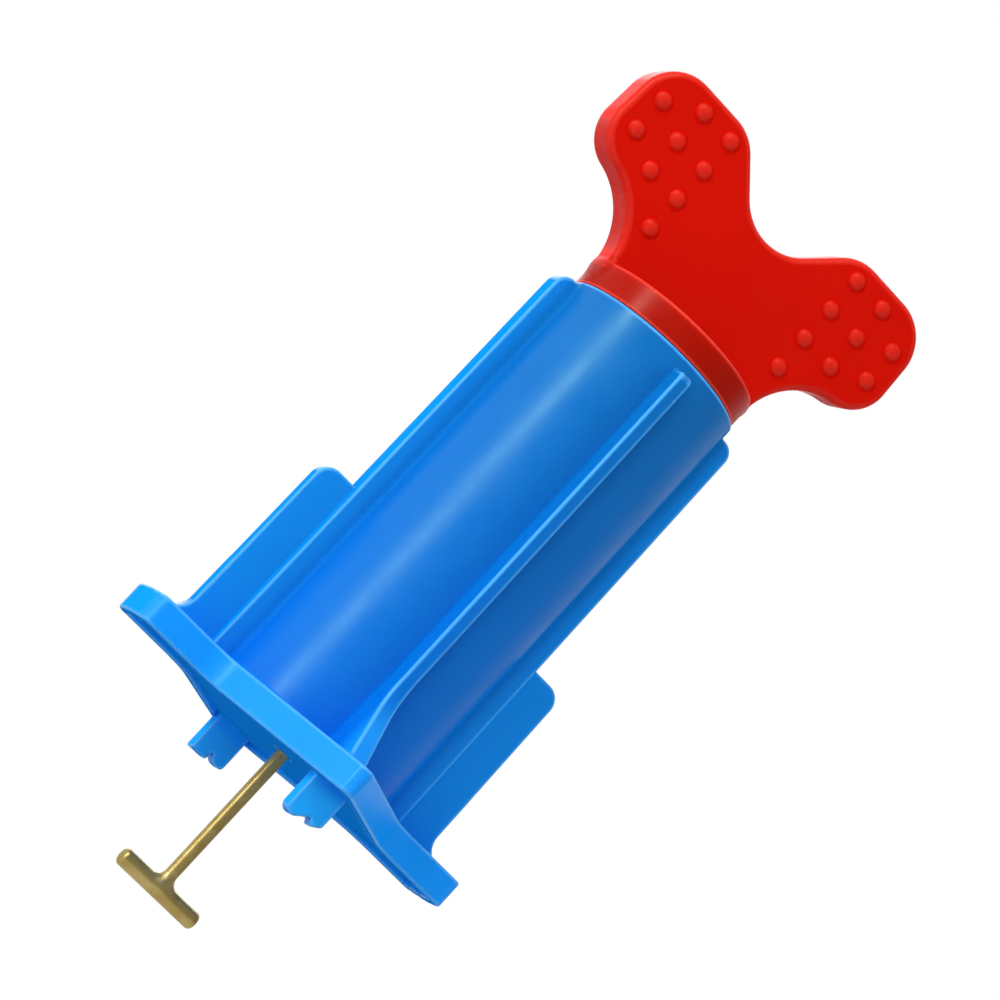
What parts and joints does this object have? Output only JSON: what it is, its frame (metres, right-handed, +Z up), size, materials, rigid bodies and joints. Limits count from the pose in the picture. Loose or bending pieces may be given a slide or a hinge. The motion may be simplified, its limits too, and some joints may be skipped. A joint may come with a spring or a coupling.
{
  "type": "t-rod draw tool",
  "caption": "Hand draw tool: finned barrel on a lobed, lugged foot, a winged turning handle, and a T-ended rod that the handle draws up through the foot.",
  "frame": {"origin": "middle of the rod's T-end at its lowest face, on the tool's axis, with the rod fully out", "axes": "+Z up the tool's axis from the T-end to the winged handle, +X along the handle's wings and the foot's tabs, +Y along the foot's pointed lobes"},
  "size_m": [0.0622, 0.0636, 0.1378],
  "materials": {
    "blue_plastic": "satin moulded azure blue polypropylene",
    "red_plastic": "satin moulded red plastic",
    "white_plastic": "natural white acetal",
    "brass": "plain drawn brass, lightly dulled",
    "steel": "zinc-plated steel"
  },
  "bodies": {
    "barrel": {"barrel": "blue_plastic", "mouth_sleeve": "white_plastic", "rod_guide_bush": "brass"},
    "handle": {"handle": "red_plastic", "lead_screw": "steel", "screw_cross_pin": "steel", "retaining_clip": "steel", "thrust_washer": "white_plastic"},
    "rod": {"traveller": "white_plastic", "t_rod": "brass", "rod_washer": "steel", "rod_nut": "brass"}
  },
  "joints": [
    {"name": "handle_turn", "type": "hinge", "parent": "barrel", "child": "handle", "pos_m": [0, 0, 0.108], "axis": [0, 0, -1], "range_deg": [0, 1080]},
    {"name": "rod_draw", "type": "slide", "parent": "barrel", "child": "rod", "axis": [0, 0, 1], "range_m": [0, 0.018]}
  ],
  "couplings": [
    {"joint": "rod_draw", "follows": "handle_turn", "m_per_rad": 0.00095493}
  ]
}
